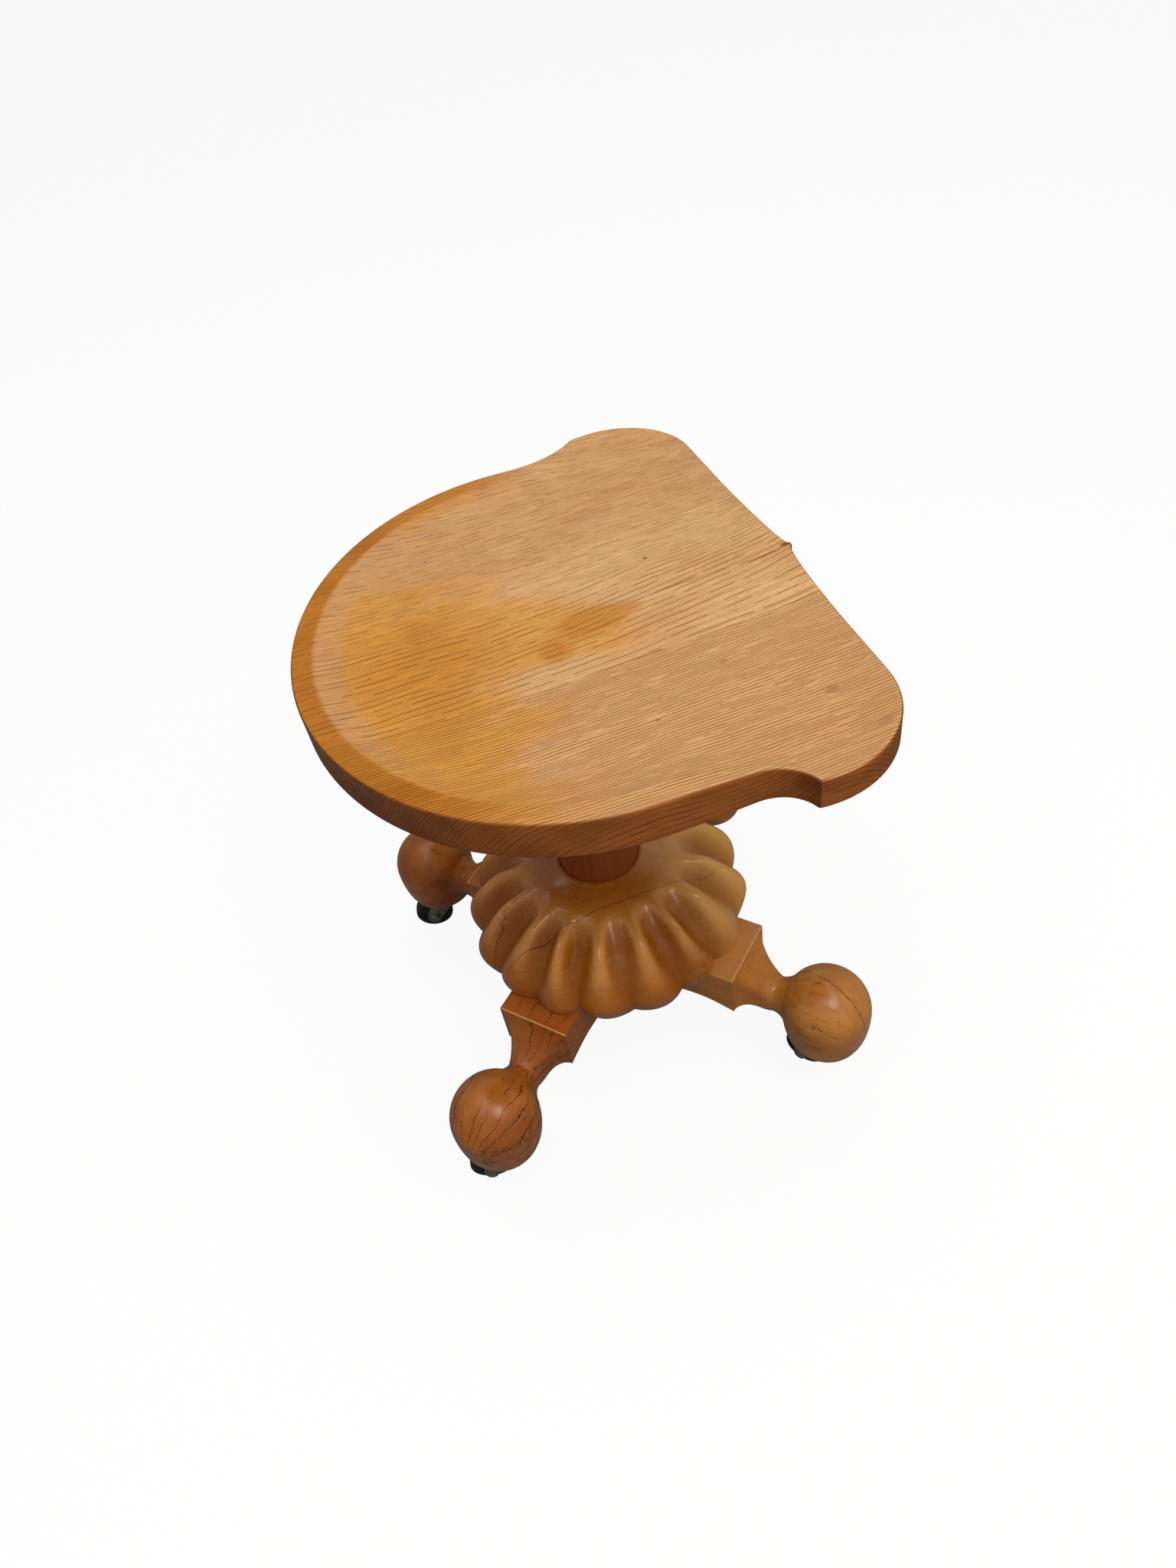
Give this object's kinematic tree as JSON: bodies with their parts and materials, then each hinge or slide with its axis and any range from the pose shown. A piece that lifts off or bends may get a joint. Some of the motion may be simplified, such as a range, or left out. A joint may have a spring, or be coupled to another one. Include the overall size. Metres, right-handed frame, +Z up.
{
  "type": "revolving piano stool",
  "caption": "Height-adjustable piano stool: a wooden saddle seat on a steel screw in a round pillar, a fluted carved dome and splayed legs with bell feet on swivel casters.",
  "frame": {"origin": "on the floor under the pillar's axis, which is also the axis of the lead screw", "axes": "+Z up along the pillar; the seat's front edge faces -Y; +X is to the right for someone who looks at the front"},
  "size_m": [0.4497, 0.3802, 0.455],
  "materials": {
    "seat_oak": "satin varnish",
    "dome_wood": "glossy varnish",
    "leg_wood": "glossy varnish",
    "pillar_wood": "satin varnish",
    "lead_screw_steel": "turned and lightly oiled",
    "spider_iron": "black, rough cast",
    "nut_brass": "dull",
    "buffer_leather": "worn",
    "plate_steel": "black, satin",
    "fastener_steel": "plain",
    "caster_zinc": "zinc plated",
    "hub_plastic": "black, matte",
    "tyre_rubber": "black, matte"
  },
  "bodies": {
    "pedestal": {"pillar": "pillar_wood", "screw_nut": "nut_brass", "nut_screw_1": "fastener_steel", "nut_screw_2": "fastener_steel", "nut_screw_3": "fastener_steel", "pillar_screw_1": "fastener_steel", "pillar_screw_2": "fastener_steel", "pillar_screw_3": "fastener_steel", "dome": "dome_wood", "under_plate": "plate_steel", "leg_front_right": "leg_wood", "leg_rear_right": "leg_wood", "leg_rear_left": "leg_wood", "leg_front_left": "leg_wood", "leg_bolt_front_right": "fastener_steel", "leg_bolt_rear_right": "fastener_steel", "leg_bolt_rear_left": "fastener_steel", "leg_bolt_front_left": "fastener_steel", "caster_socket_front_right": "caster_zinc", "caster_socket_rear_right": "caster_zinc", "caster_socket_rear_left": "caster_zinc", "caster_socket_front_left": "caster_zinc"},
    "buffer": {"buffer_washer": "buffer_leather"},
    "seat": {"seat": "seat_oak", "spider_plate": "spider_iron", "seat_screw_1": "fastener_steel", "seat_screw_2": "fastener_steel", "seat_screw_3": "fastener_steel", "seat_screw_4": "fastener_steel", "lead_screw": "lead_screw_steel", "lead_screw_pin": "fastener_steel", "stop_collar": "lead_screw_steel", "stop_collar_pin": "fastener_steel"},
    "swivel_front_right": {"caster_fork_front_right": "caster_zinc", "caster_axle_front_right": "caster_zinc", "caster_nut_front_right": "caster_zinc"},
    "swivel_rear_right": {"caster_fork_rear_right": "caster_zinc", "caster_axle_rear_right": "caster_zinc", "caster_nut_rear_right": "caster_zinc"},
    "swivel_rear_left": {"caster_fork_rear_left": "caster_zinc", "caster_axle_rear_left": "caster_zinc", "caster_nut_rear_left": "caster_zinc"},
    "swivel_front_left": {"caster_fork_front_left": "caster_zinc", "caster_axle_front_left": "caster_zinc", "caster_nut_front_left": "caster_zinc"},
    "wheel_front_right": {"caster_wheel_front_right": "hub_plastic", "caster_tyre_front_right": "tyre_rubber"},
    "wheel_rear_right": {"caster_wheel_rear_right": "hub_plastic", "caster_tyre_rear_right": "tyre_rubber"},
    "wheel_rear_left": {"caster_wheel_rear_left": "hub_plastic", "caster_tyre_rear_left": "tyre_rubber"},
    "wheel_front_left": {"caster_wheel_front_left": "hub_plastic", "caster_tyre_front_left": "tyre_rubber"}
  },
  "joints": [
    {"name": "seat_rise", "type": "slide", "parent": "pedestal", "child": "buffer", "axis": [0, 0, 1], "range_m": [0, 0.084]},
    {"name": "seat_revolve", "type": "hinge", "parent": "buffer", "child": "seat", "pos_m": [0, 0, 0.4], "axis": [0, 0, 1], "range_deg": [0, 5040]},
    {"name": "swivel_turn_front_right", "type": "hinge", "parent": "pedestal", "child": "swivel_front_right", "pos_m": [0.13637, -0.15306, 0.05], "axis": [0, 0, 1], "continuous": true},
    {"name": "swivel_turn_rear_right", "type": "hinge", "parent": "pedestal", "child": "swivel_rear_right", "pos_m": [0.15306, 0.13637, 0.05], "axis": [0, 0, 1], "continuous": true},
    {"name": "swivel_turn_rear_left", "type": "hinge", "parent": "pedestal", "child": "swivel_rear_left", "pos_m": [-0.13637, 0.15306, 0.05], "axis": [0, 0, 1], "continuous": true},
    {"name": "swivel_turn_front_left", "type": "hinge", "parent": "pedestal", "child": "swivel_front_left", "pos_m": [-0.15306, -0.13637, 0.05], "axis": [0, 0, 1], "continuous": true},
    {"name": "wheel_roll_front_right", "type": "hinge", "parent": "swivel_front_right", "child": "wheel_front_right", "pos_m": [0.14483, -0.13832, 0.019], "axis": [-0.8674, 0.4976, 0], "continuous": true},
    {"name": "wheel_roll_rear_right", "type": "hinge", "parent": "swivel_rear_right", "child": "wheel_rear_right", "pos_m": [0.1564, 0.15304, 0.019], "axis": [-0.9805, 0.1965, 0], "continuous": true},
    {"name": "wheel_roll_rear_left", "type": "hinge", "parent": "swivel_rear_left", "child": "wheel_rear_left", "pos_m": [-0.13303, 0.16973, 0.019], "axis": [-0.9805, 0.1965, 0], "continuous": true},
    {"name": "wheel_roll_front_left", "type": "hinge", "parent": "swivel_front_left", "child": "wheel_front_left", "pos_m": [-0.13894, -0.12691, 0.019], "axis": [-0.5564, 0.8309, 0], "continuous": true}
  ],
  "couplings": [
    {"joint": "seat_rise", "follows": "seat_revolve", "m_per_rad": 0.00095493}
  ]
}
